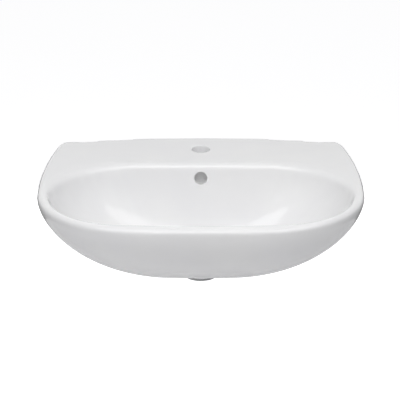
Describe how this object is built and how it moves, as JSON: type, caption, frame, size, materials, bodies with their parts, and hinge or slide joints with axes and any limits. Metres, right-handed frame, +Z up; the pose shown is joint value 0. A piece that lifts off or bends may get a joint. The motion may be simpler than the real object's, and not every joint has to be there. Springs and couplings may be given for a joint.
{
  "type": "wall hung basin",
  "caption": "White ceramic wall hung wash basin with a tap hole, an overflow and an outlet boss, and its wall studs, bushes, washers and nuts.",
  "frame": {"origin": "midway between the two wall fixings, on the plane of the wall", "axes": "+X to the right as one stands at the basin, +Y into the wall, +Z up"},
  "size_m": [0.5998, 0.5499, 0.198],
  "materials": {
    "vitreous_china": "white glaze fired on vitreous china, glossy",
    "nylon_grey": "moulded nylon, satin",
    "nylon_white": "moulded nylon, satin",
    "zinc_plated_steel": "bright zinc plate"
  },
  "bodies": {
    "root": {"basin_body": "vitreous_china", "left_wall_plug": "nylon_grey", "left_wall_stud": "zinc_plated_steel", "left_flanged_bush": "nylon_white", "left_steel_washer": "zinc_plated_steel", "left_hex_nut": "zinc_plated_steel", "right_wall_plug": "nylon_grey", "right_wall_stud": "zinc_plated_steel", "right_flanged_bush": "nylon_white", "right_steel_washer": "zinc_plated_steel", "right_hex_nut": "zinc_plated_steel"}
  },
  "joints": []
}
